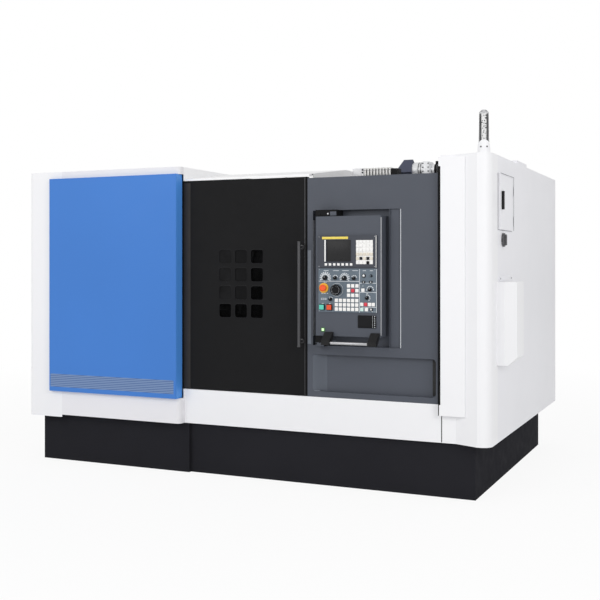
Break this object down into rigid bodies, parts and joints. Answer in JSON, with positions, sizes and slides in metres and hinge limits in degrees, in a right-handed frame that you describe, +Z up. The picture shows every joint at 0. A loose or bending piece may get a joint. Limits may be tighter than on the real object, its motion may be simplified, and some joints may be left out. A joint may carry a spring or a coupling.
{
  "type": "cnc turning lathe",
  "caption": "Enclosed slant-bed turning lathe with a sliding windowed door, a swivelling control box, a chuck, a tool turret and a tailstock on a solid plinth.",
  "frame": {"origin": "on the floor, near the middle of the plinth's footprint", "axes": "+X towards the operator's right, +Y towards the rear, +Z up"},
  "size_m": [3.504, 2.262, 2.348],
  "materials": {
    "white_paint": "fine satin powder coat",
    "black_paint": "satin black paint",
    "blue_paint": "satin blue paint",
    "grey_paint": "fine textured slate grey paint",
    "cast_iron": "painted casting",
    "steel": "machined steel",
    "motor_metal": "cast aluminium",
    "belt_rubber": "ribbed rubber",
    "black_plastic": "matt moulded plastic",
    "red_plastic": "gloss red plastic",
    "green_plastic": "gloss green plastic",
    "orange_plastic": "gloss orange plastic",
    "window_pane": "smoked polycarbonate",
    "lens": "smoked lens"
  },
  "bodies": {
    "frame": {"base_plinth": "black_paint", "bed": "cast_iron", "left_end_cover": "white_paint", "left_front_frame": "white_paint", "blue_front_cover": "blue_paint", "roof_cover": "white_paint", "front_sill": "white_paint", "door_rail": "black_paint", "rear_cover": "white_paint", "corner_column": "white_paint", "side_cover": "white_paint", "cabinet_wall": "white_paint", "heat_exchanger": "white_paint", "beacon_lens": "lens", "grey_front_cover": "grey_paint", "headstock": "cast_iron", "spindle_bearings": "steel", "spindle_motor": "motor_metal", "drive_belt": "belt_rubber", "chamber_wall": "steel", "chip_trough": "steel", "way_cover_1": "steel", "cable_tray": "white_paint", "cable_carrier": "black_plastic", "panel_pivots": "black_paint"},
    "door": {"sliding_door": "black_paint", "door_window": "window_pane", "door_handle": "black_paint", "door_hangers": "steel"},
    "control_panel": {"control_box": "grey_paint", "display_unit": "black_plastic", "operator_panel": "grey_paint", "panel_handle": "black_plastic"},
    "stop": {"estop_button": "red_plastic"},
    "pulse_wheel": {"handwheel": "black_plastic"},
    "feed_dial": {"feed_knob": "black_plastic"},
    "speed_dial": {"speed_knob": "black_plastic"},
    "start": {"start_button": "green_plastic"},
    "hold": {"hold_button": "orange_plastic"},
    "port_flap": {"port_cover": "black_plastic"},
    "cabinet": {"cabinet_door": "white_paint"},
    "latch": {"cabinet_latch": "black_plastic"},
    "switch": {"main_switch": "black_plastic"},
    "work_spindle": {"spindle": "steel", "chuck": "steel"},
    "jaw_a": {"jaw_1": "steel"},
    "jaw_b": {"jaw_2": "steel"},
    "jaw_c": {"jaw_3": "steel"},
    "motor_shaft": {"motor_pulley": "steel"},
    "carriage": {"saddle": "cast_iron", "x_drive_housing": "grey_paint", "x_axis_motor": "motor_metal", "way_cover_4": "steel"},
    "cover_b": {"way_cover_2": "steel"},
    "cover_c": {"way_cover_3": "steel"},
    "cross": {"cross_slide": "cast_iron", "turret_body": "cast_iron"},
    "turret": {"turret_disc": "steel"},
    "tail": {"tailstock": "cast_iron"},
    "tail_quill": {"quill": "steel"}
  },
  "joints": [
    {"name": "door_slide", "type": "slide", "parent": "frame", "child": "door", "axis": [-1, 0, 0], "range_m": [0, 0.86]},
    {"name": "panel_swivel", "type": "hinge", "parent": "frame", "child": "control_panel", "pos_m": [0.601, -1.07, 1.34], "axis": [0, 0, -1], "range_deg": [0, 80]},
    {"name": "stop_push", "type": "slide", "parent": "control_panel", "child": "stop", "axis": [0, 1, 0], "range_m": [0, 0.005], "stiffness_N_per_m": 1500},
    {"name": "start_push", "type": "slide", "parent": "control_panel", "child": "start", "axis": [0, 1, 0], "range_m": [0, 0.003], "stiffness_N_per_m": 1000},
    {"name": "hold_push", "type": "slide", "parent": "control_panel", "child": "hold", "axis": [0, 1, 0], "range_m": [0, 0.003], "stiffness_N_per_m": 1000},
    {"name": "wheel_turn", "type": "hinge", "parent": "control_panel", "child": "pulse_wheel", "pos_m": [0.73858, -1.12, 1.25596], "axis": [0, -1, 0], "continuous": true},
    {"name": "feed_turn", "type": "hinge", "parent": "control_panel", "child": "feed_dial", "pos_m": [0.66058, -1.12, 1.3313], "axis": [0, -1, 0], "range_deg": [-135, 135]},
    {"name": "speed_turn", "type": "hinge", "parent": "control_panel", "child": "speed_dial", "pos_m": [0.79006, -1.12, 1.32967], "axis": [0, -1, 0], "range_deg": [-135, 135]},
    {"name": "port_flap_hinge", "type": "hinge", "parent": "control_panel", "child": "port_flap", "pos_m": [0.9375, -1.1025, 1.1], "axis": [-1, 0, 0], "range_deg": [0, 100]},
    {"name": "cabinet_hinge", "type": "hinge", "parent": "frame", "child": "cabinet", "pos_m": [1.711, -0.519, 1.8], "axis": [0, 0, 1], "range_deg": [0, 110]},
    {"name": "latch_turn", "type": "hinge", "parent": "cabinet", "child": "latch", "pos_m": [1.72, -0.845, 1.849], "axis": [1, 0, 0], "range_deg": [0, 90]},
    {"name": "switch_turn", "type": "hinge", "parent": "frame", "child": "switch", "pos_m": [1.71, -0.765, 1.566], "axis": [1, 0, 0], "range_deg": [0, 90]},
    {"name": "spindle_spin", "type": "hinge", "parent": "frame", "child": "work_spindle", "pos_m": [-0.5, -0.51, 1.12], "axis": [1, 0, 0], "continuous": true},
    {"name": "motor_spin", "type": "hinge", "parent": "frame", "child": "motor_shaft", "pos_m": [-1.1, -0.62, 0.52], "axis": [1, 0, 0], "continuous": true},
    {"name": "jaw_a_slide", "type": "slide", "parent": "work_spindle", "child": "jaw_a", "axis": [0, 0, 1], "range_m": [0, 0.005]},
    {"name": "jaw_b_slide", "type": "slide", "parent": "work_spindle", "child": "jaw_b", "axis": [0, -0.866, -0.5], "range_m": [0, 0.005]},
    {"name": "jaw_c_slide", "type": "slide", "parent": "work_spindle", "child": "jaw_c", "axis": [0, 0.866, -0.5], "range_m": [0, 0.005]},
    {"name": "z_slide", "type": "slide", "parent": "frame", "child": "carriage", "axis": [1, 0, 0], "range_m": [-0.84, 0]},
    {"name": "cover_b_slide", "type": "slide", "parent": "frame", "child": "cover_b", "axis": [1, 0, 0], "range_m": [-0.28, 0]},
    {"name": "cover_c_slide", "type": "slide", "parent": "frame", "child": "cover_c", "axis": [1, 0, 0], "range_m": [-0.56, 0]},
    {"name": "x_slide", "type": "slide", "parent": "carriage", "child": "cross", "axis": [0, 0.5, 0.866], "range_m": [-0.25, 0]},
    {"name": "turret_index", "type": "hinge", "parent": "cross", "child": "turret", "pos_m": [0.655, -0.27, 1.53569], "axis": [1, 0, 0], "continuous": true},
    {"name": "tailstock_slide", "type": "slide", "parent": "frame", "child": "tail", "axis": [1, 0, 0], "range_m": [-0.2, 0]},
    {"name": "quill_slide", "type": "slide", "parent": "tail", "child": "tail_quill", "axis": [1, 0, 0], "range_m": [-0.1, 0]}
  ],
  "couplings": [
    {"joint": "motor_spin", "follows": "spindle_spin", "ratio": 1.5294},
    {"joint": "jaw_b_slide", "follows": "jaw_a_slide", "ratio": 1},
    {"joint": "jaw_c_slide", "follows": "jaw_a_slide", "ratio": 1},
    {"joint": "cover_b_slide", "follows": "z_slide", "ratio": 0.33333},
    {"joint": "cover_c_slide", "follows": "z_slide", "ratio": 0.66667}
  ]
}
